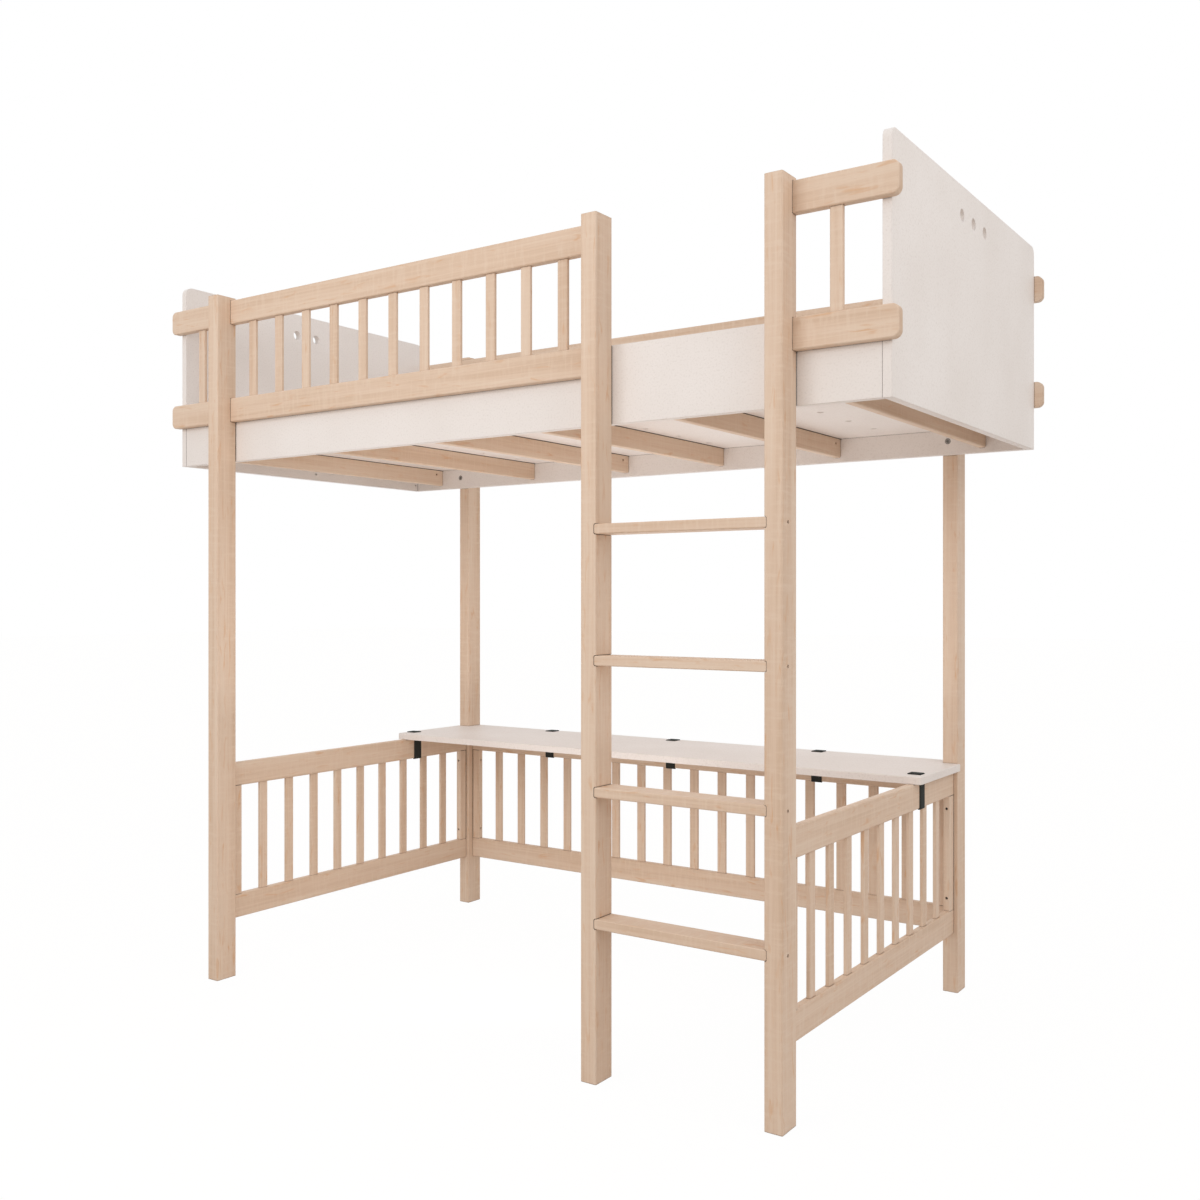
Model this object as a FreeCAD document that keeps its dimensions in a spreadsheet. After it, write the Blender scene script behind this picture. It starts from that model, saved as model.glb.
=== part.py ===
import FreeCAD, Part
import os
import re

# Loft bed: five timber posts carry a white bed box at head height, slatted guard rails run
# round its top, a fixed four-rung ladder fills the space between the two right front posts,
# and three slatted fences between the posts carry a shelf that black steel hooks hold down.
# The middle of the footprint is the origin, X runs along the bed and the ladder faces -Y.

doc = FreeCAD.newDocument("loft_bed")

SIZES = {
    # bed box: white boards round the mattress well
    "well_length": 2008, "well_width": 906, "board": 18, "board_edge": 0.8, "panel_seam": 0.4,
    "box_bottom": 1366, "side_height": 165.5,
    "end_height": 494, "end_corner": 20,
    "finger_hole": 26, "finger_pitch": 76, "finger_drop": 62.5,
    "fitting_hole": 7, "fitting_hole_depth": 10, "fitting_hole_rise": 18, "fitting_hole_inset": 10,
    # base boards on cross battens
    "base_thickness": 16, "base_clear": 0.5, "base_rise": 62,
    "vent_hole": 16, "vent_step_x": 195, "vent_step_y": 162,
    "batten_width": 18, "batten_height": 50, "batten_edge": 2,
    "batten_inner_share": 0.1604, "batten_middle_share": 0.5124, "batten_outer_share": 0.8969,
    # posts
    "post_width": 38.5, "post_depth": 60, "post_height": 1798, "post_inset": 189, "post_edge": 2,
    # guard rails and the slats of guards and fences
    "rail_height": 62, "rail_thickness": 18, "rail_overhang": 20, "rail_corner": 14, "rail_edge": 2,
    "guard_clear": 196.5, "housing_wall": 10, "stub_slat_reach": 106,
    "slat_width": 27, "slat_thickness": 8, "slat_edge": 1.5, "slat_tenon": 10,
    # ladder
    "ladder_clear": 384, "rung_height": 21, "rung_housing": 5.5, "rung_gap": 0.8,
    "rung_corner": 2.5, "rung_edge": 1.5, "rung_first": 320, "rung_pitch": 271.2, "rung_screw_setback": 23.5,
    # fences
    "fence_bottom": 150, "fence_thickness": 18, "fence_clear": 290, "stile_width": 28,
    "fence_screw_inset": 32,
    # shelf and its hooks
    "shelf_thickness": 18, "shelf_depth": 345, "shelf_overhang": 17, "shelf_corner": 8,
    "shelf_edge": 2, "shelf_gap": 0.5,
    "hook_gauge": 2.5, "hook_width": 30, "hook_plate": 30, "hook_lip": 4.5, "hook_bend": 4,
    "side_hook_setback": 52, "rear_hook_left": 476, "rear_hook_middle": 30, "rear_hook_right": 436.5,
    # dowels, bolts and screws
    "dowel_width": 8, "dowel_length": 30, "dowel_seat": 10,
    "corner_dowel_rise": 40, "corner_dowel_step": 85, "batten_dowel_drop": 15,
    "bolt_head": 15, "bolt_head_height": 4, "bolt_shank": 6, "bolt_length": 60, "bolt_rise": 34,
    "screw_width": 7, "screw_recess": 6, "screw_grip": 20,
    # clearance of every joint, and how far a cut runs past the face it opens
    "fit": 0.2, "overrun": 6,
}
FRONT_LEFT_SPACES = 12
REAR_SPACES = 16
SIDE_FENCE_SPACES = 10
REAR_FENCE_SPACES = 17
RUNGS = 4
BASE_BOARDS = 3
FINGER_STEPS = (-1, 0, 1)
VENT_ROWS = (-1, 0, 1)
VENT_COLUMNS = (-2, -1, 0, 1, 2)
# Small round things repeat in dozens, so they are prisms of few sides.
SHANK_SIDES = 6
VENT_SIDES = 8
HEAD_SIDES = 12

sheet = doc.addObject("Spreadsheet::Sheet", "Sizes")
for row, (alias, number) in enumerate(SIZES.items(), start=1):
    sheet.set(f"A{row}", alias)
    sheet.set(f"B{row}", str(number))
    sheet.setAlias(f"B{row}", alias)
doc.recompute()

# Places worked out from the sizes, as formulas of the sheet's names.
WELL_X = "(well_length / 2)"
WELL_Y = "(well_width / 2)"
END_X = f"({WELL_X} + board)"
BOX_Y = f"({WELL_Y} + board)"
BOX_TOP = "(box_bottom + side_height)"
BASE_Z = "(box_bottom + base_rise)"
POST_OUT = f"({END_X} - post_inset)"
POST_IN = f"({POST_OUT} - post_width)"
POST_MID = f"({POST_OUT} - post_width / 2)"
POST_Y = f"({BOX_Y} + post_depth)"
LADDER_RIGHT = f"({POST_IN} - ladder_clear)"
LADDER_LEFT = f"({LADDER_RIGHT} - post_width)"
LADDER_MID = f"({LADDER_RIGHT} - post_width / 2)"
RAIL_END = f"({END_X} + rail_overhang)"
RAIL_Y = f"({BOX_Y} + rail_thickness)"
LOW_RAIL = (f"({BOX_TOP} - rail_height)", BOX_TOP)
HIGH_RAIL = (f"({BOX_TOP} + guard_clear)", f"({BOX_TOP} + guard_clear + rail_height)")
FENCE_LOW = ("fence_bottom", "(fence_bottom + rail_height)")
FENCE_TOP = "(fence_bottom + 2 * rail_height + fence_clear)"
FENCE_HIGH = (f"({FENCE_TOP} - rail_height)", FENCE_TOP)
REAR_MID = f"({BOX_Y} + post_depth / 2)"
SHELF_TOP = f"({FENCE_TOP} + shelf_thickness)"
SHELF_X = f"({POST_MID} + fence_thickness / 2 + shelf_overhang)"
SHELF_FRONT = f"({POST_Y} - shelf_depth)"

AXES = (FreeCAD.Vector(1, 0, 0), FreeCAD.Vector(0, 1, 0), FreeCAD.Vector(0, 0, 1))
SIZE_NAME = re.compile(r"\b(" + "|".join(SIZES) + r")\b")


def bind(item, path, formula):
    """Tie one property to a formula of the sheet's names."""
    item.setExpression(path, SIZE_NAME.sub(r"Sizes.\1", formula))


def mirrored(pair):
    """The same stretch on the other side of the origin."""
    low, high = pair
    return f"-({high})", f"-({low})"


def about(middle, width):
    """A stretch of the given width about its middle."""
    return f"({middle}) - ({width}) / 2", f"({middle}) + ({width}) / 2"


def beyond(face, sign, near, far):
    """The stretch from near to far past a face, in the direction of the sign."""
    if sign > 0:
        return f"({face}) + ({near})", f"({face}) + ({far})"
    return f"({face}) - ({far})", f"({face}) - ({near})"


def block(name, *stretches):
    """A box from its low and high ends along X, Y and Z."""
    item = doc.addObject("Part::Box", name)
    for side, axis, (low, high) in zip(("Length", "Width", "Height"), "xyz", stretches):
        bind(item, side, f"({high}) - ({low})")
        bind(item, f"Placement.Base.{axis}", low)
    item.recompute()
    return item


def rod(name, width, *place, sides=None):
    """A cylinder, or a prism of some sides, along the one axis whose place is a stretch."""
    item = doc.addObject("Part::Prism" if sides else "Part::Cylinder", name)
    if sides:
        item.Polygon = sides
    along = [isinstance(entry, tuple) for entry in place].index(True)
    turn = FreeCAD.Rotation(AXES[2], AXES[along])
    item.Placement = FreeCAD.Placement(FreeCAD.Vector(), turn)
    low, high = place[along]
    bind(item, "Circumradius" if sides else "Radius", f"({width}) / 2")
    bind(item, "Height", f"({high}) - ({low})")
    for index, axis in enumerate("xyz"):
        bind(item, f"Placement.Base.{axis}", low if index == along else place[index])
    item.recompute()
    return item


def on_axis(axis, along, first, second):
    """Three places in X, Y, Z order, with the first one along the given axis."""
    others = [first, second]
    return [along if index == axis else others.pop(0) for index in range(len(AXES))]


def edges_along(axis, end=None, end_axis=2):
    """Picks straight edges parallel to an axis, at one end of the shape where that is given."""
    def pick(shape, edge):
        if not isinstance(edge.Curve, Part.Line):
            return False
        if round(abs(edge.Curve.Direction.dot(AXES[axis])), 6) != 1:
            return False
        return end is None or touches(shape, edge, end_axis, end)
    return pick


def edges_round(axis, ends=(-1, 1)):
    """Picks the outlines of the outermost faces across an axis, at one end or both."""
    def pick(shape, edge):
        return any(touches(shape, edge, axis, end) for end in ends)
    return pick


def touches(shape, edge, axis, end):
    """Whether an edge lies wholly in the lowest or highest plane of a shape."""
    bounds = shape.BoundBox
    lows = (bounds.XMin, bounds.YMin, bounds.ZMin)
    highs = (bounds.XMax, bounds.YMax, bounds.ZMax)
    plane = (lows if end < 0 else highs)[axis]
    box = edge.BoundBox
    spans = ((box.XMin, box.XMax), (box.YMin, box.YMax), (box.ZMin, box.ZMax))
    return all(abs(value - plane) < float(sheet.fit) / 2 for value in spans[axis])


def eased(kind, name, base, size, pick):
    """A fillet or chamfer of a named size on the edges that a test picks."""
    item = doc.addObject(kind, name)
    item.Base = base
    radius = float(sheet.get(size))
    edges = enumerate(base.Shape.Edges, start=1)
    item.Edges = [(index, radius, radius) for index, edge in edges if pick(base.Shape, edge)]
    item.recompute()
    return item


def rounded(name, base, size, pick):
    return eased("Part::Fillet", name, base, size, pick)


def chamfered(name, base, size, pick):
    return eased("Part::Chamfer", name, base, size, pick)


def joined(name, items):
    """Several shapes made one."""
    item = doc.addObject("Part::MultiFuse", name)
    item.Shapes = items
    item.recompute()
    return item


def cut(name, base, tools):
    """A piece less its housings, mortises and bores."""
    item = doc.addObject("Part::Cut", name)
    item.Base = base
    item.Tool = tools[0] if len(tools) == 1 else joined(f"{name}_cuts", tools)
    item.recompute()
    return item


# Every piece's uncut shape, the node it belongs to, and the cuts that other pieces make in it.
pieces = {}
nodes = {}
cuts = {}


def piece(name, shape, node=None):
    pieces[name] = shape
    nodes.setdefault(node or name, []).append(name)
    cuts[name] = []


def pin(node, name, width, sides, place, bore_place, carriers):
    """A dowel or screw, with a snug bore through each of the pieces it joins."""
    piece(name, rod(name, width, *place, sides=sides), node)
    bore = rod(f"{name}_bore", f"{width} + 2 * fit", *bore_place, sides=sides)
    for carrier in carriers:
        cuts[carrier].append(bore)


def dowel(node, name, place, carriers):
    """A dowel hidden in two pieces, ending on the floors of its bore."""
    pin(node, name, "dowel_width", SHANK_SIDES, place, place, carriers)


def screw(node, name, axis, face, sign, cross, length, carriers):
    """A headless screw driven from a face, sunk in its bore below that face."""
    place = on_axis(axis, beyond(face, sign, "screw_recess", length), *cross)
    bore_place = on_axis(axis, beyond(face, sign, "-overrun", length), *cross)
    pin(node, name, "screw_width", SHANK_SIDES, place, bore_place, carriers)


# Posts stand outside the bed box, three in front and two behind, with eased edges.
RIGHT_POST = (POST_IN, POST_OUT)
LADDER_POST = (LADDER_LEFT, LADDER_RIGHT)
REAR_POST = (BOX_Y, POST_Y)
FRONT_POST = mirrored(REAR_POST)
POSTS = {
    "post_front_left": (mirrored(RIGHT_POST), FRONT_POST),
    "post_ladder_left": (LADDER_POST, FRONT_POST),
    "post_front_right": (RIGHT_POST, FRONT_POST),
    "post_rear_left": (mirrored(RIGHT_POST), REAR_POST),
    "post_rear_right": (RIGHT_POST, REAR_POST),
}
for name, (across, deep) in POSTS.items():
    blank = block(f"{name}_blank", across, deep, ("0", "post_height"))
    piece(name, chamfered(f"{name}_eased", blank, "post_edge", edges_along(2)))

# End panels: tall boards with rounded top corners, an eased outer outline and three finger holes
# near the top. Blind holes low on the inner face take fittings.
END_PANELS = {"end_panel_left": -1, "end_panel_right": 1}
for name, side in END_PANELS.items():
    thick = beyond("0", side, WELL_X, END_X)
    blank = block(f"{name}_blank", thick, (f"-{BOX_Y}", BOX_Y), ("box_bottom", "box_bottom + end_height"))
    corners = rounded(f"{name}_corners", blank, "end_corner", edges_along(0, 1))
    piece(name, chamfered(f"{name}_eased", corners, "board_edge", edges_round(0, (side,))))
    through = beyond("0", side, f"{WELL_X} - overrun", f"{END_X} + overrun")
    blind = beyond("0", side, f"{WELL_X} - overrun", f"{WELL_X} + fitting_hole_depth")
    for step in FINGER_STEPS:
        place = (through, f"{step} * finger_pitch", "box_bottom + end_height - finger_drop")
        cuts[name].append(rod(f"{name}_finger_{step}", "finger_hole", *place))
        place = (blind, f"{step} * ({WELL_Y} - fitting_hole_inset)", "box_bottom + fitting_hole_rise")
        cuts[name].append(rod(f"{name}_fitting_{step}", "fitting_hole", *place, sides=SHANK_SIDES))

# Side panels: boards between the end panels, with a thin seam at each end. The posts stand
# against them.
SIDE_PANELS = {"side_panel_front": -1, "side_panel_rear": 1}
for name, side in SIDE_PANELS.items():
    thick = beyond("0", side, WELL_Y, BOX_Y)
    long = about("0", "well_length - 2 * panel_seam")
    blank = block(f"{name}_blank", long, thick, ("box_bottom", BOX_TOP))
    piece(name, chamfered(f"{name}_eased", blank, "board_edge", edges_round(1)))
    for end_name, end in END_PANELS.items():
        for level in range(2):
            along = beyond("0", end, f"{WELL_X} + dowel_seat - dowel_length", f"{WELL_X} + dowel_seat")
            rise = f"box_bottom + corner_dowel_rise + {level} * corner_dowel_step"
            place = (along, f"{side} * ({WELL_Y} + board / 2)", rise)
            dowel("corner_dowels", f"corner_dowel_{name}_{end_name}_{level}", place, [name, end_name])

# Battens run from side to side between the side panels and carry the base boards. A dowel joins
# each end to the panel, and a bore in the batten's face reaches it, on alternate sides.
BATTENS = {
    "batten_1": (f"-{WELL_X} * batten_outer_share", 1), "batten_2": (f"-{WELL_X} * batten_middle_share", -1),
    "batten_3": (f"-{WELL_X} * batten_inner_share", 1), "batten_4": (f"{WELL_X} * batten_inner_share", -1),
    "batten_5": (f"{WELL_X} * batten_middle_share", 1), "batten_6": (f"{WELL_X} * batten_outer_share", -1),
}
for name, (middle, face) in BATTENS.items():
    across = about(middle, "batten_width")
    blank = block(f"{name}_blank", across, (f"-{WELL_Y}", WELL_Y), (f"{BASE_Z} - batten_height", BASE_Z))
    piece(name, chamfered(f"{name}_eased", blank, "batten_edge", edges_along(1)))
    dowel_z = f"{BASE_Z} - batten_dowel_drop"
    bored_face = f"{middle} + {face} * batten_width / 2"
    for panel, side in SIDE_PANELS.items():
        along = beyond("0", side, f"{WELL_Y} + dowel_seat - dowel_length", f"{WELL_Y} + dowel_seat")
        dowel("batten_dowels", f"dowel_{name}_{panel}", (middle, along, dowel_z), [name, panel])
        bore_y = f"{side} * ({WELL_Y} - dowel_length)"
        bore_x = beyond(bored_face, -face, "-overrun", "batten_width / 2")
        bore = rod(f"{name}_{panel}_bore", "dowel_width", bore_x, bore_y, dowel_z, sides=SHANK_SIDES)
        cuts[name].append(bore)

# Base boards: three boards side by side on the battens, with a grid of vent holes each.
for index in range(BASE_BOARDS):
    name = f"base_board_{index + 1}"
    share = f"well_length / {BASE_BOARDS}"
    middle = f"({index} + 0.5) * {share} - {WELL_X}"
    across = about(middle, f"{share} - 2 * base_clear")
    deep = about("0", "well_width - 2 * base_clear")
    piece(name, block(f"{name}_blank", across, deep, (BASE_Z, f"{BASE_Z} + base_thickness")))
    upright = (f"{BASE_Z} - overrun", f"{BASE_Z} + base_thickness + overrun")
    for row in VENT_ROWS:
        for column in VENT_COLUMNS:
            place = (f"{middle} + {row} * vent_step_x", f"{column} * vent_step_y", upright)
            cuts[name].append(rod(f"{name}_vent_{row}_{column}", "vent_hole", *place, sides=VENT_SIDES))

# Guard rails: an upper and a lower rail on each stretch. Their backs are square and flush with
# the posts' backs, their outer faces have an eased outline, and free ends stand past the end
# panels with round corners. The left front pair ends in a stopped housing in the ladder's left
# post, and the right pair starts in one.
FRONT_RAIL = mirrored((BOX_Y, RAIL_Y))
REAR_RAIL = (BOX_Y, RAIL_Y)
LEFT_RUN = (f"-{RAIL_END}", f"{LADDER_RIGHT} - housing_wall - fit")
RIGHT_RUN = (f"{POST_IN} + housing_wall + fit", RAIL_END)
FULL_RUN = (f"-{RAIL_END}", RAIL_END)
LEVELS = {"lower": LOW_RAIL, "upper": HIGH_RAIL}
GUARDS = {
    "guard_front_left": (LEFT_RUN, FRONT_RAIL, (-1,)),
    "guard_front_right": (RIGHT_RUN, FRONT_RAIL, (1,)),
    "guard_rear": (FULL_RUN, REAR_RAIL, (-1, 1)),
}


def free_corners(ends):
    """Picks the corner edges, across the rail, at its free ends."""
    tests = [edges_along(1, end, 0) for end in ends]
    return lambda shape, edge: any(test(shape, edge) for test in tests)


for guard, (run, deep, ends) in GUARDS.items():
    side = 1 if deep is REAR_RAIL else -1
    for level, tall in LEVELS.items():
        name = f"{guard}_{level}_rail"
        blank = block(f"{name}_blank", run, deep, tall)
        corners = rounded(f"{name}_corners", blank, "rail_corner", free_corners(ends))
        piece(name, chamfered(f"{name}_eased", corners, "rail_edge", edges_round(1, (side,))))
        middle = f"({tall[0]} + {tall[1]}) / 2"
        for end in ends:
            panel = "end_panel_left" if end < 0 else "end_panel_right"
            into = beyond("0", side, f"{BOX_Y} + dowel_seat - dowel_length", f"{BOX_Y} + dowel_seat")
            place = (f"{end} * ({WELL_X} + board / 2)", into, middle)
            dowel("rail_dowels", f"rail_dowel_{name}_{end}", place, [name, panel])

# Housings for the rails in the posts' backs: through at the outer posts, stopped beside the ladder.
THROUGH_LEFT = (f"-{POST_OUT} - overrun", f"-{POST_IN} + overrun")
THROUGH_RIGHT = mirrored(THROUGH_LEFT)
HOUSINGS = {
    "post_front_left": ("guard_front_left", THROUGH_LEFT),
    "post_ladder_left": ("guard_front_left", (f"{LADDER_LEFT} - overrun", f"{LADDER_RIGHT} - housing_wall")),
    "post_front_right": ("guard_front_right", (f"{POST_IN} + housing_wall", f"{POST_OUT} + overrun")),
    "post_rear_left": ("guard_rear", THROUGH_LEFT),
    "post_rear_right": ("guard_rear", THROUGH_RIGHT),
}
POST_MIDDLES = {
    "post_front_left": f"-{POST_MID}", "post_ladder_left": LADDER_MID, "post_front_right": POST_MID,
    "post_rear_left": f"-{POST_MID}", "post_rear_right": POST_MID,
}
for post, (guard, across) in HOUSINGS.items():
    side = 1 if guard == "guard_rear" else -1
    deep = beyond("0", side, f"{BOX_Y} - overrun", f"{RAIL_Y} + fit")
    for level, (low, high) in LEVELS.items():
        cuts[post].append(block(f"{post}_{level}_housing", across, deep, (f"{low} - fit", f"{high} + fit")))
    # A bolt from inside the well, its flat head let into the side panel, holds each post.
    panel = "side_panel_rear" if side > 0 else "side_panel_front"
    name = f"bolt_{post}"
    cross = (POST_MIDDLES[post], "box_bottom + bolt_rise")
    inside = f"{side} * {WELL_Y}"
    head_place = on_axis(1, beyond(inside, side, "0", "bolt_head_height"), *cross)
    shank_place = on_axis(1, beyond(inside, side, "bolt_head_height", "bolt_length"), *cross)
    sink_place = on_axis(1, beyond(inside, side, "-overrun", "bolt_head_height"), *cross)
    head = rod(f"{name}_head", "bolt_head", *head_place, sides=HEAD_SIDES)
    shank = rod(f"{name}_shank", "bolt_shank", *shank_place, sides=SHANK_SIDES)
    piece(name, joined(name, [head, shank]), "post_bolts")
    cuts[panel].append(rod(f"{name}_sink", "bolt_head + 2 * fit", *sink_place, sides=HEAD_SIDES))
    bore = rod(f"{name}_bore", "bolt_shank + 2 * fit", *shank_place, sides=SHANK_SIDES)
    cuts[panel].append(bore)
    cuts[post].append(bore)


def slats(node, axis, middles, thick_middle, low, high, rails):
    """Laths tenoned into the rails above and below, each in a mortise of its own."""
    for index, middle in enumerate(middles, start=1):
        name = f"{node}_{index}"
        wide = about(middle, "slat_width")
        thick = about(thick_middle, "slat_thickness")
        tall = (f"{low} - slat_tenon", f"{high} + slat_tenon")
        blank = block(f"{name}_blank", *on_axis(axis, wide, thick, tall))
        piece(name, chamfered(f"{name}_eased", blank, "slat_edge", edges_along(2)), node)
        mortise_wide = about(middle, "slat_width + 2 * fit")
        mortise_thick = about(thick_middle, "slat_thickness + 2 * fit")
        mortise = block(f"{name}_mortise", *on_axis(axis, mortise_wide, mortise_thick, tall))
        for rail in rails:
            cuts[rail].append(mortise)


# Guard slats stand at an even pitch from post to post, with one stub slat past each outer post.
FRONT_PITCH = f"({LADDER_MID} + {POST_MID}) / {FRONT_LEFT_SPACES}"
REAR_PITCH = f"2 * {POST_MID} / {REAR_SPACES}"
LEFT_STUB = f"-{POST_MID} - stub_slat_reach"
RIGHT_STUB = f"{POST_MID} + stub_slat_reach"
front_left = [f"-{POST_MID} + {step} * {FRONT_PITCH}" for step in range(1, FRONT_LEFT_SPACES)]
rear = [f"-{POST_MID} + {step} * {REAR_PITCH}" for step in range(1, REAR_SPACES)]
GUARD_SLATS = {
    "guard_front_left": [LEFT_STUB, *front_left],
    "guard_front_right": [RIGHT_STUB],
    "guard_rear": [LEFT_STUB, *rear, RIGHT_STUB],
}
for guard, middles in GUARD_SLATS.items():
    side = 1 if guard == "guard_rear" else -1
    centre = f"{side} * ({BOX_Y} + rail_thickness / 2)"
    rails = [f"{guard}_{level}_rail" for level in LEVELS]
    slats(f"{guard}_slats", 0, middles, centre, LOW_RAIL[1], HIGH_RAIL[0], rails)

# Fences between the posts, at the middle of the posts' width: two rails, a stile against each
# post, which two screws hold, and slats between.
FENCES = {
    "fence_left": (1, f"-{POST_MID}", BOX_Y, SIDE_FENCE_SPACES, ("post_front_left", "post_rear_left")),
    "fence_right": (1, POST_MID, BOX_Y, SIDE_FENCE_SPACES, ("post_front_right", "post_rear_right")),
    "fence_rear": (0, REAR_MID, POST_IN, REAR_FENCE_SPACES, ("post_rear_left", "post_rear_right")),
}
for fence, (axis, centre, reach, spaces, posts) in FENCES.items():
    thick = about(centre, "fence_thickness")
    for level, tall in {"bottom": FENCE_LOW, "top": FENCE_HIGH}.items():
        name = f"{fence}_{level}_rail"
        blank = block(f"{name}_blank", *on_axis(axis, (f"-{reach}", reach), thick, tall))
        piece(name, chamfered(f"{name}_eased", blank, "rail_edge", edges_along(axis)))
    for end, post in zip((-1, 1), posts):
        name = f"{fence}_stile_{post}"
        wide = beyond("0", end, f"{reach} - stile_width", reach)
        blank = block(f"{name}_blank", *on_axis(axis, wide, thick, (FENCE_LOW[1], FENCE_HIGH[0])))
        piece(name, chamfered(f"{name}_eased", blank, "rail_edge", edges_along(2)), f"{fence}_stiles")
        heights = {
            "low": f"{FENCE_LOW[1]} + fence_screw_inset",
            "high": f"{FENCE_HIGH[0]} - fence_screw_inset",
        }
        for which, height in heights.items():
            screw("fence_screws", f"{fence}_screw_{post}_{which}", axis, f"{end} * ({reach} - stile_width)",
                  end, (centre, height), "stile_width + screw_grip", [name, post])
    pitch = f"(2 * {reach} - stile_width) / {spaces}"
    middles = [f"{step} * {pitch} - {reach} + stile_width / 2" for step in range(1, spaces)]
    rails = [f"{fence}_{level}_rail" for level in ("bottom", "top")]
    slats(f"{fence}_slats", axis, middles, centre, FENCE_LOW[1], FENCE_HIGH[0], rails)

# Ladder: rungs as deep as the posts, let into housings in their facing sides with a thin open
# line above and below, and held by a screw from each post's outer side.
RUNG_RUN = (f"{LADDER_RIGHT} - rung_housing", f"{POST_IN} + rung_housing")
for index in range(RUNGS):
    name = f"rung_{index + 1}"
    low = f"(rung_first + {index} * rung_pitch)"
    high = f"({low} + rung_height)"
    blank = block(f"{name}_blank", RUNG_RUN, FRONT_POST, (low, high))
    corners = chamfered(f"{name}_corners", blank, "rung_corner", edges_along(1))
    piece(name, chamfered(f"{name}_eased", corners, "rung_edge", edges_round(1)))
    deep = (f"{FRONT_POST[0]} - overrun", f"{FRONT_POST[1]} + overrun")
    tall = (f"{low} - rung_gap", f"{high} + rung_gap")
    sides = {
        "post_ladder_left": (beyond(LADDER_RIGHT, -1, "-overrun", "rung_housing"), LADDER_LEFT, 1),
        "post_front_right": (beyond(POST_IN, 1, "-overrun", "rung_housing"), POST_OUT, -1),
    }
    for post, (across, outside, inward) in sides.items():
        housing = block(f"{name}_{post}_slot", across, deep, tall)
        cuts[post].append(chamfered(f"{name}_{post}_housing", housing, "rung_corner", edges_along(1)))
        cross = (f"-{POST_Y} + rung_screw_setback", f"{low} + rung_height / 2")
        screw("rung_screws", f"{name}_screw_{post}", 0, outside, inward, cross,
              "post_width - rung_housing + screw_grip", [post, name])

# Shelf: a board on the three fences' top rails, eased round its top and cut out round the rear
# posts.
blank = block("shelf_blank", (f"-{SHELF_X}", SHELF_X), (SHELF_FRONT, POST_Y), (FENCE_TOP, SHELF_TOP))
corners = rounded("shelf_corners", blank, "shelf_corner", edges_along(2, -1, 1))
piece("shelf", chamfered("shelf_eased", corners, "shelf_edge", edges_round(2, (1,))))
through_shelf = (f"{FENCE_TOP} - overrun", f"{SHELF_TOP} + overrun")
for end in (-1, 1):
    across = beyond("0", end, f"{POST_IN} - shelf_gap", f"{SHELF_X} + overrun")
    deep = (f"{BOX_Y} - shelf_gap", f"{POST_Y} + overrun")
    cuts["shelf"].append(block(f"shelf_notch_{end}", across, deep, through_shelf))

# Hooks: a strip bent twice. Its plate lies on the shelf, its strap goes through a slot there and
# down the rail's face, and its lip grips under the rail. The straps are on the right faces of
# the side fences and on the front of the rear one.
SIDE_HOOK_Y = f"{SHELF_FRONT} + side_hook_setback"
REAR_HOOK_FACE = f"{REAR_MID} - fence_thickness / 2"
HOOKS = {
    "shelf_hook_left": (0, SIDE_HOOK_Y, f"-{POST_MID} + fence_thickness / 2", 1),
    "shelf_hook_right": (0, SIDE_HOOK_Y, f"{POST_MID} + fence_thickness / 2", 1),
    "shelf_hook_rear_1": (1, "-rear_hook_left", REAR_HOOK_FACE, -1),
    "shelf_hook_rear_2": (1, "-rear_hook_middle", REAR_HOOK_FACE, -1),
    "shelf_hook_rear_3": (1, "rear_hook_right", REAR_HOOK_FACE, -1),
}
for name, (axis, middle, face, sign) in HOOKS.items():
    wide = about(middle, "hook_width")
    past = about(middle, "hook_width + 2 * overrun")
    deep = beyond(face, sign, "-hook_plate", "hook_gauge")
    tall = (f"{FENCE_HIGH[0]} - hook_gauge", f"{SHELF_TOP} + hook_gauge")
    blank = block(f"{name}_blank", *on_axis(axis, deep, wide, tall))
    bent = rounded(f"{name}_bent", blank, "hook_bend", edges_along(1 - axis, sign, axis))
    grip = beyond(face, sign, "-hook_plate - overrun", "0")
    beside_lip = beyond(face, sign, "-hook_plate - overrun", "-hook_lip")
    below = (f"{FENCE_HIGH[0]} - hook_gauge - overrun", SHELF_TOP)
    room = block(f"{name}_room", *on_axis(axis, grip, past, (FENCE_HIGH[0], SHELF_TOP)))
    short = block(f"{name}_short", *on_axis(axis, beside_lip, past, below))
    piece(name, cut(f"{name}_strip", bent, [room, short]))
    slot = beyond(face, sign, "-fit", "hook_gauge + fit")
    slot_wide = about(middle, "hook_width + 2 * fit")
    cuts["shelf"].append(block(f"{name}_slot", *on_axis(axis, slot, slot_wide, through_shelf)))

# Finish every piece with its cuts and gather the pieces of each node.
finished = {name: cut(f"{name}_cut", shape, cuts[name]) if cuts[name] else shape
            for name, shape in pieces.items()}
exports = {}
for node, names in nodes.items():
    if len(names) == 1:
        exports[node] = finished[names[0]]
    else:
        exports[node] = doc.addObject("Part::Compound", f"{node}_group")
        exports[node].Links = [finished[name] for name in names]
doc.recompute()
for node, item in exports.items():
    item.Label = node

failed = [item.Name for item in doc.Objects if {"Invalid", "Error"} & set(item.State)]
if failed:
    raise RuntimeError(f"objects that failed: {failed}")
for node, item in exports.items():
    shape = item.Shape
    if shape.isNull() or not shape.isValid() or len(shape.Solids) != len(nodes[node]):
        raise RuntimeError(f"{node}: {len(shape.Solids)} sound solids of {len(nodes[node])}")

os.makedirs("parts", exist_ok=True)
for node, item in exports.items():
    item.Shape.exportStep(f"parts/{node}.step")
bounds = Part.makeCompound([item.Shape for item in exports.values()]).BoundBox
print(f"{len(exports)} nodes, {bounds.XLength:.1f} x {bounds.YLength:.1f} x {bounds.ZLength:.1f} mm")
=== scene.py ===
import math

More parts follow.
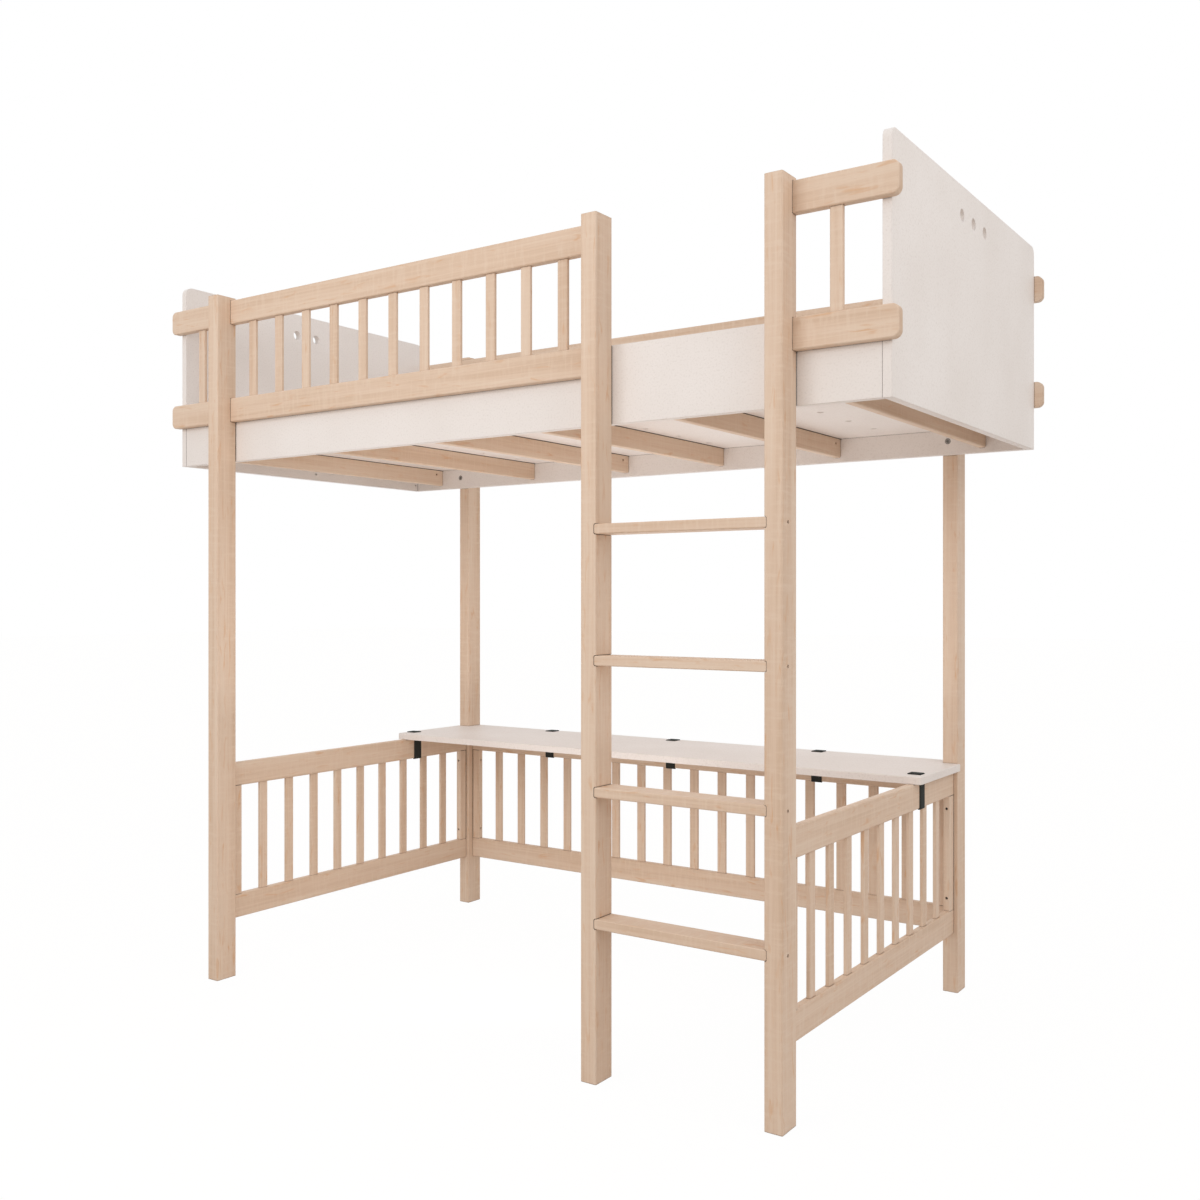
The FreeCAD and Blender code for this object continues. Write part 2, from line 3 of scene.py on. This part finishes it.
import bmesh
import bpy
import numpy as np
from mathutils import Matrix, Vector


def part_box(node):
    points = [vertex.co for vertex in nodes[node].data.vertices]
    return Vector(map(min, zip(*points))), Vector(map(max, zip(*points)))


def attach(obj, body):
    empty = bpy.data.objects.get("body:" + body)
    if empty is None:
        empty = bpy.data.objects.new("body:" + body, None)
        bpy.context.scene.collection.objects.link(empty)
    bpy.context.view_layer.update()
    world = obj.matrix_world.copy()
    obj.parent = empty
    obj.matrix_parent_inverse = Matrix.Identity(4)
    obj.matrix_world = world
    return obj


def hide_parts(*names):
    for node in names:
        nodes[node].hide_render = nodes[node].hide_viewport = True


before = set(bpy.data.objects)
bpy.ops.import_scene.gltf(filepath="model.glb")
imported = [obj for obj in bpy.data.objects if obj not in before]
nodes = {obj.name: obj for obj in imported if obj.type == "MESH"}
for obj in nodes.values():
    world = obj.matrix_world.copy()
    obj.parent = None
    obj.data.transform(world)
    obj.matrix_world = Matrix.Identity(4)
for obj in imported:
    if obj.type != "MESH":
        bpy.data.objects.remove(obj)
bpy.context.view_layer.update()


# Posts: five planed timbers, taller than the bed box, of a pale close-grained hardwood with a
# clear satin lacquer. Rails and rungs are let into them, and they stand on their sawn feet.
class Flow:
    """A socket among a material's nodes. Arithmetic on it adds Math nodes, and node() any other."""

    def __init__(self, tree, socket=None):
        self.tree, self.socket = tree, socket

    def node(self, kind, settings=None, sockets=None, out=0):
        """Adds a node of a type with its settings, then the values or links of its sockets."""
        made = self.tree.nodes.new(kind)
        for key, value in (settings or {}).items():
            if key == "stops":
                stops = made.color_ramp.elements
                stops[0].position, stops[1].position = value[0][0], value[-1][0]
                for position, _ in value[1:-1]:
                    stops.new(position)
                for stop, (_, colour) in zip(stops, value):
                    stop.color = colour
            else:
                setattr(made, key, value)
        for key, value in (sockets or {}).items():
            if isinstance(value, Flow):
                self.tree.links.new(value.socket, made.inputs[key])
            else:
                made.inputs[key].default_value = value
        return Flow(self.tree, made.outputs[out])

    def maths(self, operation, first, second):
        return self.node("ShaderNodeMath", {"operation": operation}, {0: first, 1: second})

    def __add__(self, other):
        return self.maths("ADD", self, other)

    def __mul__(self, other):
        return self.maths("MULTIPLY", self, other)

    def __abs__(self):
        return self.maths("ABSOLUTE", self, 0.0)

    def ranged(self, low, high, start=0.0, end=1.0):
        """The value carried from low..high to start..end, smoothly and held at the ends."""
        sockets = {0: self, 1: low, 2: high, 3: start, 4: end}
        return self.node("ShaderNodeMapRange", {"interpolation_type": "SMOOTHSTEP"}, sockets)

    def toned(self, *stops):
        """The value turned into a colour by the stops of a ramp."""
        return self.node("ShaderNodeValToRGB", {"stops": stops}, {"Fac": self})

    def blended(self, colour, share):
        """This colour with a share of another one over it."""
        return self.node("ShaderNodeMix", {"data_type": "RGBA"}, {0: share, 6: self, 7: colour}, 2)


def paint(red, green, blue):
    """A colour as it looks, in steps of 255, made linear with full opacity."""
    seen = np.array((red, green, blue)) / 255
    linear = np.where(seen <= 0.04045, seen / 12.92, ((seen + 0.055) / 1.055) ** 2.4)
    return (*linear.tolist(), 1)


def material(name):
    """A new material, its shader node, and a Flow that adds nodes to it."""
    made = bpy.data.materials.new(name)
    made.use_nodes = True
    return made, made.node_tree.nodes["Principled BSDF"], Flow(made.node_tree)


def feed(flow, shader, **sockets):
    """Links flows, or sets values, on the shader's sockets."""
    for key, value in sockets.items():
        socket = shader.inputs[key.replace("_", " ")]
        if isinstance(value, Flow):
            flow.tree.links.new(value.socket, socket)
        else:
            socket.default_value = value


# CREASE, CREASE_RAYS, SHUT and OPEN set the painted shade: an occlusion reach, its rays, and the openness
# over which the painted shade fades out.
EDGE_RAYS, CREASE_RAYS, CREASE, SHUT, OPEN = 6, 8, 0.005, 0.18, 0.80


def eased(flow, radius, strength, depth, height):
    """A normal with edges rounded to a radius and a relief of some depth over it."""
    soft = flow.node("ShaderNodeBevel", {"samples": EDGE_RAYS}, {"Radius": radius})
    sockets = {"Strength": strength, "Distance": depth, "Normal": soft, "Height": height}
    return flow.node("ShaderNodeBump", sockets=sockets)


def painted_crease_shade(flow, colour, shade):
    """The colour with a painted shade, a dark colour standing in for shadow, laid in bores, seams
    and tight corners. The painted shade covers what is shut in by surfaces a crease's width
    away, and leaves what is open."""
    sockets = {"Distance": CREASE}
    openness = flow.node("ShaderNodeAmbientOcclusion", {"samples": CREASE_RAYS}, sockets, "AO")
    return colour.blended(shade, openness.ranged(SHUT, OPEN, 1.0, 0.0))


def dress(names, finish):
    """Gives carried-over nodes one finish."""
    for name in names:
        nodes[name].data.materials.clear()
        nodes[name].data.materials.append(finish)


LENGTHWISE, CROSSWISE, UPRIGHT = 0, 1, 2
DEEP_WOOD, MEAN_WOOD, PALE_WOOD = paint(213, 185, 160), paint(222, 196, 173), paint(228, 206, 185)
PORE_WOOD, FLECK_WOOD, SAWN_WOOD = paint(186, 154, 126), paint(211, 163, 119), paint(196, 165, 138)
# A dark brown painted into the timber's bores, seams and tight corners: painted shade.
PAINTED_SHADE_WOOD = paint(62, 42, 31)


def timber(name, grain, shift):
    """Lacquered hardwood whose grain runs along one axis. Its tone is a mean of broad bands and
    fine streaks, both noise drawn out along the grain. Over it lie a silky figure drawn out
    across the grain, short dark pores and rare warm flecks. The sawn ends are darker, and a
    painted shade darkens bores, seams and tight corners."""
    finish, shader, flow = material(name)
    place = flow.node("ShaderNodeTexCoord", out="Object")

    def drawn(along, across, detail, distortion=0.0):
        """Noise with so many features to the metre along the grain and across it."""
        scale = [across] * 3
        scale[grain] = along
        sockets = {"Vector": place, "Location": (shift,) * 3, "Scale": scale}
        spread = flow.node("ShaderNodeMapping", sockets=sockets)
        sockets = {"Vector": spread, "Scale": 1.0, "Detail": detail, "Distortion": distortion}
        return flow.node("ShaderNodeTexNoise", sockets=sockets)

    bands = drawn(1.1, 24, 2, 0.5)
    streaks = drawn(3.0, 170, 4, 0.5)
    figure = drawn(150, 22, 2)
    pores = drawn(60, 1000, 2)
    flecks = drawn(15, 85, 2, 0.8)
    tone = bands * 0.55 + streaks * 0.45
    colour = tone.toned((0.36, DEEP_WOOD), (0.50, MEAN_WOOD), (0.64, PALE_WOOD))
    colour = colour.blended(PALE_WOOD, figure.ranged(0.45, 0.75, 0.0, 0.45))
    colour = colour.blended(PORE_WOOD, pores.ranged(0.55, 0.75, 0.0, 0.16))
    colour = colour.blended(FLECK_WOOD, flecks.ranged(0.58, 0.78, 0.0, 0.60))
    normal = flow.node("ShaderNodeNewGeometry", out="Normal")
    facing = flow.node("ShaderNodeSeparateXYZ", sockets={0: normal}, out=grain)
    colour = colour.blended(SAWN_WOOD, abs(facing).ranged(0.75, 0.95, 0.0, 0.6))
    # Painted shade: the dark brown laid over bores, seams and tight corners.
    colour = painted_crease_shade(flow, colour, PAINTED_SHADE_WOOD)
    feed(flow, shader, Base_Color=colour, Roughness=figure.ranged(0.2, 0.8, 0.60, 0.48),
         Normal=eased(flow, 0.0022, 0.15, 0.0004, streaks + pores), Specular_IOR_Level=0.3)
    return finish


POSTS = ["post_front_left", "post_ladder_left", "post_front_right", "post_rear_left", "post_rear_right"]
dress(POSTS, timber("post_timber", UPRIGHT, 0.0))


# Bed box: two tall end panels and two side panels of coated board, warm white with a satin
# skin that shows a faint orange peel. They are doweled at the corners and bolted to the posts.
# A dark grey painted into the boards' bores, seams and tight corners: painted shade.
PAINTED_SHADE_BOARD = paint(66, 57, 52)


def coated(name, red, green, blue):
    """Coated board: a clouded tone and a fine speckle on the colour, with a rippled skin. A painted shade
    darkens bores, seams and tight corners.
    """
    finish, shader, flow = material(name)
    place = flow.node("ShaderNodeTexCoord", out="Object")

    def noise(scale, detail):
        return flow.node("ShaderNodeTexNoise", sockets={"Vector": place, "Scale": scale, "Detail": detail})

    clouds, speckle, ripple = noise(5.0, 2.0), noise(240.0, 3.0), noise(300.0, 2.0)
    dim, bright = paint(red - 3, green - 4, blue - 5), paint(red + 2, green + 2, blue + 2)
    grit = paint(red - 20, green - 22, blue - 24)
    colour = clouds.toned((0.3, dim), (0.7, bright))
    colour = colour.blended(grit, speckle.ranged(0.48, 0.78, 0.0, 0.5))
    # Painted shade: the dark grey laid over bores, seams and tight corners.
    colour = painted_crease_shade(flow, colour, PAINTED_SHADE_BOARD)
    feed(flow, shader, Base_Color=colour, Roughness=speckle.ranged(0.3, 0.7, 0.44, 0.54),
         Normal=eased(flow, 0.0016, 0.30, 0.0006, ripple), Specular_IOR_Level=0.3)
    return finish


PANELS = ["end_panel_left", "end_panel_right", "side_panel_front", "side_panel_rear"]
dress(PANELS, coated("white_board", 237, 231, 227))

# Battens: planed timbers on edge from side to side of the box, doweled into the side panels.
# A cross bore near each end reaches its dowel.
dress([f"batten_{number}" for number in range(1, 7)], timber("batten_timber", CROSSWISE, 3.1))

# Base: three boards of the same coated stock laid loose on the battens, drilled with rows of
# vent holes for the mattress.
# Their colour is a little paler than the panels': painted light that lifts the shade on the boards'
# underside.
dress([f"base_board_{number}" for number in range(1, 4)], coated("base_board", 240, 233, 229))

# Guard rails: flat timbers with round free ends, housed in the posts' backs and doweled to the
# end panels, with thin upright slats mortised between each pair.
GUARDS = ["guard_front_left", "guard_front_right", "guard_rear"]
dress([f"{guard}_{level}_rail" for guard in GUARDS for level in ("upper", "lower")],
      timber("rail_timber", LENGTHWISE, 7.3))
dress([f"{guard}_slats" for guard in GUARDS], timber("guard_slat_timber", UPRIGHT, 11.9))

# Ladder: four flat timber rungs with eased edges, let into housings in the posts' facing sides
# and held by a screw from each post's outer side.
RUNGS = [f"rung_{number}" for number in range(1, 5)]
dress(RUNGS, timber("rung_timber", LENGTHWISE, 17.9))

# Fences: low timber frames between the posts, with a stile screwed to each post and slats
# mortised into the rails. Those at the sides run front to back, and the rear one along the bed.
FENCES = ["fence_left", "fence_right", "fence_rear"]
dress([f"{fence}_{level}_rail" for fence in FENCES[:2] for level in ("top", "bottom")],
      timber("side_fence_timber", CROSSWISE, 19.3))
dress(["fence_rear_top_rail", "fence_rear_bottom_rail"], timber("rear_fence_timber", LENGTHWISE, 23.9))
dress([f"{fence}_{kind}" for fence in FENCES for kind in ("slats", "stiles")],
      timber("fence_slat_timber", UPRIGHT, 29.1))

# Shelf: one coated board on the fences' top rails, cut out round the rear posts and slotted for
# the hooks.
dress(["shelf"], coated("shelf_board", 237, 229, 224))


# Hooks: strips of black powder-coated steel, bent twice. The plate lies on the shelf, the strap
# goes down through it over the rail's face, and the lip grips under the rail.
def coated_steel(name):
    """Powder coat: near-black, with the fine even grain of the baked powder."""
    finish, shader, flow = material(name)
    place = flow.node("ShaderNodeTexCoord", out="Object")
    grain = flow.node("ShaderNodeTexNoise", sockets={"Vector": place, "Scale": 1500.0, "Detail": 2.0})
    feed(flow, shader, Base_Color=grain.toned((0.35, paint(44, 46, 44)), (0.7, paint(60, 62, 59))),
         Roughness=grain.ranged(0.3, 0.7, 0.66, 0.78), Specular_IOR_Level=0.08,
         Normal=eased(flow, 0.0006, 0.25, 0.0002, grain))
    return finish


SHARP = math.radians(40)


def skinned(name, shells, finish, slot, *stands_for):
    """A piece of closed skins that stands for nodes. Each shell is a grid of rings of points:
    quads join each ring to the next, and a flat face closes the first ring and the last."""
    shells = np.asarray(shells)
    count, rings, around = shells.shape[:3]
    index = np.arange(count * rings * around).reshape(count, rings, around)
    turned = np.roll(index, -1, axis=2)
    quads = np.stack((index[:, :-1], turned[:, :-1], turned[:, 1:], index[:, 1:]), axis=-1)
    ends = np.concatenate((index[:, 0], index[:, -1]))
    mesh = bpy.data.meshes.new(name)
    mesh.from_pydata(shells.reshape(-1, 3).tolist(), [], quads.reshape(-1, 4).tolist() + ends.tolist())
    skin = bmesh.new()
    skin.from_mesh(mesh)
    bmesh.ops.recalc_face_normals(skin, faces=skin.faces)
    skin.to_mesh(mesh)
    skin.free()
    mesh.shade_smooth()
    mesh.set_sharp_from_angle(angle=SHARP)
    mesh.materials.append(finish)
    made = bpy.data.objects.new(name, mesh)
    bpy.context.scene.collection.objects.link(made)
    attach(made, "root")
    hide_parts(*stands_for)


GAUGE, LIP, BEND, BURR = 0.0025, 0.0045, 0.0003, 0.0005
CORNER_STEPS, BEND_STEPS = 4, 9


def bent_strip(low, high, axis, sign):
    """A round-cornered oblong carried along a path: in along the plate, round a quarter bend, down
    the strap, round a second one and in along the lip. A point is the path's point, plus the
    section's height along the path's normal, plus the section's width along the rail. The
    section draws in by a burr's radius at both ends of the path."""
    across = 1 - axis
    turn = np.linspace(0, math.pi / 2, CORNER_STEPS)
    turn = np.concatenate([turn + quarter * math.pi / 2 for quarter in range(4)])
    corner = np.repeat([(1, 1), (-1, 1), (-1, -1), (1, -1)], CORNER_STEPS, axis=0)
    half = np.array((high[across] - low[across], GAUGE)) / 2 - BURR
    section = corner * half + BURR * np.stack((np.cos(turn), np.sin(turn)), axis=1)
    radius = BEND + GAUGE / 2
    sweep = np.radians(np.linspace(90, 0, BEND_STEPS))
    angles = np.concatenate(([sweep[0]] * 2, sweep, -sweep[::-1], [-sweep[0]] * 2))
    normal = np.stack((np.cos(angles), np.sin(angles)), axis=1)
    inset, inner = high[axis] - low[axis] - GAUGE, GAUGE / 2 - radius
    centre = np.empty_like(normal)
    centre[:, 0] = inner
    centre[:2, 0] = -inset, BURR - inset
    centre[-2:, 0] = BURR - LIP, -LIP
    upper, lower = high[2] - GAUGE / 2 - radius, low[2] + GAUGE / 2 + radius
    centre[:, 1] = np.where(np.arange(angles.size) < angles.size // 2, upper, lower)
    path = centre + radius * normal
    spread = np.repeat(section[None], len(path), axis=0)
    spread[[0, -1]] -= np.sign(spread[[0, -1]]) * BURR
    face = high[axis] - GAUGE if sign > 0 else low[axis] + GAUGE
    points = np.empty((len(path), len(section), 3))
    points[..., axis] = face + sign * (path[:, None, 0] + normal[:, None, 0] * spread[..., 1])
    points[..., across] = (low[across] + high[across]) / 2 + spread[..., 0]
    points[..., 2] = path[:, None, 1] + normal[:, None, 1] * spread[..., 1]
    return points


black_steel = coated_steel("black_steel")
HOOKS = {"left": (LENGTHWISE, 1), "right": (LENGTHWISE, 1), "rear_1": (CROSSWISE, -1),
         "rear_2": (CROSSWISE, -1), "rear_3": (CROSSWISE, -1)}
for place, (axis, sign) in HOOKS.items():
    node = f"shelf_hook_{place}"
    skinned(f"bent_hook_{place}", [bent_strip(*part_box(node), axis, sign)], black_steel, "black_steel", node)


# Bolts and screws: dull zinc-plated steel with hexagon sockets. The bolts' flat heads lie flush
# in the side panels, and the headless screws are sunk in their bores.
# A near-black painted into the hexagon sockets and seams: painted shade.
PAINTED_SHADE_ZINC, AROUND = paint(34, 32, 31), 36


def plated(name):
    """Zinc plate: grey metal with patches where the plating has dulled. A painted shade darkens the sockets
    and seams.
    """
    finish, shader, flow = material(name)
    place = flow.node("ShaderNodeTexCoord", out="Object")
    patches = flow.node("ShaderNodeTexNoise", sockets={"Vector": place, "Scale": 260.0, "Detail": 3.0})
    colour = patches.toned((0.35, paint(136, 132, 128)), (0.7, paint(176, 172, 167)))
    # Painted shade darkens the sockets and seams of the zinc.
    feed(flow, shader, Base_Color=painted_crease_shade(flow, colour, PAINTED_SHADE_ZINC), Metallic=0.9,
         Roughness=patches.ranged(0.3, 0.7, 0.35, 0.55))
    return finish


def socket_pin(seat, out_axis, sign, rings):
    """Rings about an axis through the seat. Each ring has a radius, a depth below the seat and a
    share of hexagon: its radius falls towards the middle of each flat by that share."""
    radius, depth, hexagon = np.array(rings).T[:, :, None]
    angle = np.linspace(0, 2 * math.pi, AROUND, endpoint=False)
    flat = math.cos(math.pi / 6) / np.cos(angle % (math.pi / 3) - math.pi / 6)
    reach = radius * (1 - hexagon + hexagon * flat)
    side_axes = [axis for axis in range(3) if axis != out_axis]
    points = np.empty((*reach.shape, 3))
    points[..., side_axes[0]] = seat[side_axes[0]] + reach * np.cos(angle)
    points[..., side_axes[1]] = seat[side_axes[1]] + reach * np.sin(angle)
    points[..., out_axis] = seat[out_axis] - sign * depth
    return points


def middle(node):
    """The middle of a node's box."""
    return np.mean(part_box(node), axis=0)


HEAD, HEAD_DEPTH, SHANK, BOLT_LENGTH = 0.0074, 0.0039, 0.0028, 0.0595
SOCKET, SOCKET_DEPTH, RIM = 0.0034, 0.0026, 0.0006
BOLT = [(SOCKET, SOCKET_DEPTH, 1), (SOCKET, RIM, 1), (SOCKET + RIM, 0, 1), (HEAD - RIM, 0, 0),
        (HEAD, RIM, 0), (HEAD, HEAD_DEPTH, 0), (SHANK, HEAD_DEPTH, 0), (SHANK, BOLT_LENGTH, 0)]
SCREW, SCREW_SOCKET, RUNG_SCREW_LENGTH, FENCE_SCREW_LENGTH = 0.0031, 0.0018, 0.0465, 0.0415
STILE, STILE_SINK, STILE_SCREW = 0.028, 0.006, 0.032


def grub(length):
    """The rings of a headless screw of a length, from its socket's floor to its tip."""
    return [(SCREW_SOCKET, SOCKET_DEPTH, 1), (SCREW_SOCKET, 0, 1), (SCREW - RIM, 0, 0), (SCREW, RIM, 0),
            (SCREW, length - RIM, 0), (SCREW - RIM, length, 0)]


zinc = plated("zinc_steel")
shells = []
for post in POSTS:
    sign = -1 if "rear" in post else 1
    panel_low, panel_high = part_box("side_panel_rear" if sign < 0 else "side_panel_front")
    inner = panel_low[1] if sign < 0 else panel_high[1]
    seat = (middle(post)[0], inner, middle("post_bolts")[2])
    shells.append(socket_pin(seat, CROSSWISE, sign, BOLT))
skinned("socket_bolts", shells, zinc, "zinc_steel", "post_bolts")
shells = []
for rung in RUNGS:
    for end, sign in zip(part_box("rung_screws"), (-1, 1)):
        seat = (end[0], middle("rung_screws")[1], middle(rung)[2])
        shells.append(socket_pin(seat, LENGTHWISE, sign, grub(RUNG_SCREW_LENGTH)))
skinned("rung_grub_screws", shells, zinc, "zinc_steel", "rung_screws")
shells = []
for fence in FENCES:
    along = LENGTHWISE if fence == "fence_rear" else CROSSWISE
    low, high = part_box(f"{fence}_stiles")
    for end, sign in ((low[along] + STILE - STILE_SINK, 1), (high[along] - STILE + STILE_SINK, -1)):
        for height in (low[2] + STILE_SCREW, high[2] - STILE_SCREW):
            seat = middle(f"{fence}_stiles")
            seat[along], seat[2] = end, height
            shells.append(socket_pin(seat, along, sign, grub(FENCE_SCREW_LENGTH)))
skinned("fence_grub_screws", shells, zinc, "zinc_steel", "fence_screws")

# Dowels: turned hardwood pins, glued into bores and hidden in the boards and rails that they
# join.
dress(["batten_dowels", "corner_dowels", "rail_dowels"], timber("dowel_timber", CROSSWISE, 31.3))


# Stage: a white room. The floor takes the light as a pale matt surface, and the camera and
# mirror rays see it and the backdrop as white with a little of the shadow left.
def white_to_eye(tree):
    """One for rays from the camera, from a mirror or through glass, and nought for the rest."""
    ray = Flow(tree).node("ShaderNodeLightPath", out="Is Camera Ray")
    outputs = ray.socket.node.outputs
    glossy, clear = Flow(tree, outputs["Is Glossy Ray"]), Flow(tree, outputs["Is Transmission Ray"])
    return (ray + glossy + clear).ranged(0.0, 1.0)


WHITE = (1, 1, 1, 1)
REACH, FLOOR_COLOUR, FLOOR_GLOW, EYE_SHARE = 30.0, (0.62, 0.56, 0.51, 1), 1.03, 0.94
ROOM_COLOUR, ROOM_STRENGTH = (1.0, 0.99, 0.985, 1), 0.79
corners = np.array([(-1, -1, 0), (1, -1, 0), (1, 1, 0), (-1, 1, 0)]) * REACH
ground = bpy.data.meshes.new("floor")
ground.from_pydata(corners.tolist(), [], [(0, 1, 2, 3)])
floor = bpy.data.objects.new("floor", ground)
bpy.context.scene.collection.objects.link(floor)
pale_floor, shader, flow = material("pale_floor")
feed(flow, shader, Base_Color=FLOOR_COLOUR, Roughness=0.9, Specular_IOR_Level=0.1)
shine = flow.node("ShaderNodeEmission", sockets={"Color": WHITE, "Strength": FLOOR_GLOW})
lit = flow.node("ShaderNodeMixShader", sockets={0: white_to_eye(flow.tree) * EYE_SHARE, 2: shine})
flow.tree.links.new(shader.outputs[0], lit.socket.node.inputs[1])
flow.tree.links.new(lit.socket, flow.tree.nodes["Material Output"].inputs["Surface"])
ground.materials.append(pale_floor)

world = bpy.data.worlds.new("white_room")
bpy.context.scene.world = world
world.use_nodes = True
room = Flow(world.node_tree)
soft_light = world.node_tree.nodes["Background"]
soft_light.inputs["Color"].default_value = ROOM_COLOUR
soft_light.inputs["Strength"].default_value = ROOM_STRENGTH
backdrop = room.node("ShaderNodeBackground", sockets={"Color": WHITE, "Strength": 1.0})
seen = room.node("ShaderNodeMixShader", sockets={0: white_to_eye(world.node_tree), 2: backdrop})
world.node_tree.links.new(soft_light.outputs[0], seen.socket.node.inputs[1])
world.node_tree.links.new(seen.socket, world.node_tree.nodes["World Output"].inputs["Surface"])


# Lamps: a key in front and a fill at the ladder's end, and two weak ones under the bed that stand
# in for light thrown up by a white room.
def softbox(name, place, aim, width, height, power):
    """An area lamp at a place, hidden from the camera and turned to face a point."""
    lamp = bpy.data.lights.new(name, "AREA")
    lamp.shape, lamp.size, lamp.size_y, lamp.energy = "RECTANGLE", width, height, power
    made = bpy.data.objects.new(name, lamp)
    bpy.context.scene.collection.objects.link(made)
    made.location = place
    made.visible_camera = False
    made.rotation_euler = (Vector(place) - Vector(aim)).to_track_quat("Z", "Y").to_euler()


softbox("front_softbox", (-0.2, -2.7, 2.1), (-0.1, 0, 1.3), 1.6, 1.2, 19)
softbox("side_softbox", (3.1, -0.9, 2.5), (0, 0, 1.3), 2.0, 1.6, 15)
softbox("under_softbox", (0.0, -0.05, 0.68), (0, -0.05, 1.4), 1.4, 0.7, 3.4)
softbox("low_softbox", (0.05, -0.4, 0.33), (-0.6, 0.5, 0.3), 0.5, 0.3, 1.2)

# Camera: level at about a metre, off the ladder's corner, with a slightly long lens.
SENSOR, FOCAL_PIXELS, FRAME_PIXELS = 36.0, 1216.09, 1200
lens = bpy.data.cameras.new("camera")
lens.sensor_width = SENSOR
lens.lens = SENSOR * FOCAL_PIXELS / FRAME_PIXELS
camera = bpy.data.objects.new("camera", lens)
camera.location = (1.8351, -2.5851, 0.9978)
camera.rotation_euler = (math.pi / 2, 0.0, math.radians(34.5417))
bpy.context.scene.collection.objects.link(camera)
bpy.context.scene.camera = camera
bpy.context.scene.view_settings.view_transform = "Standard"
